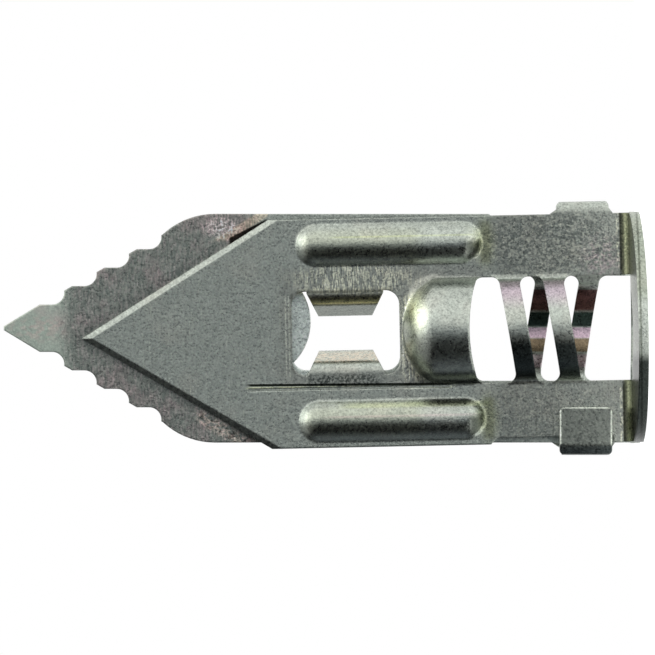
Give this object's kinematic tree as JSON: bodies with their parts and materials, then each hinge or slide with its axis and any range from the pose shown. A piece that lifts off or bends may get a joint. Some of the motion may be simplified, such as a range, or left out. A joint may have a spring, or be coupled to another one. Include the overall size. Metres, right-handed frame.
{
  "type": "drywall anchor",
  "caption": "Self-driving plasterboard anchor of hooked sheet-steel arms and a toothed blade, which spread when a screw is driven down the ribbed channel between them.",
  "frame": {"origin": "on the centre line, at the level of the flange's outer rims, so that the anchor stands on its flange with its point up", "axes": "+Z along the anchor from the flange to the blade's point, X across the width of the arms and along the hinge axis, -Y out of the plain front arm"},
  "size_m": [0.0155, 0.0144, 0.0393],
  "materials": {
    "front_steel": "zinc plated and clear passivated, with fine press scratches",
    "back_steel": "zinc plated and clear passivated, with iridescent bends"
  },
  "bodies": {
    "back": {"back_arm": "back_steel"},
    "front": {"front_arm": "front_steel"}
  },
  "joints": [
    {"name": "arm_spread", "type": "hinge", "parent": "back", "child": "front", "pos_m": [0, 0, 0.0044], "axis": [1, 0, 0], "range_deg": [0, 10]}
  ]
}
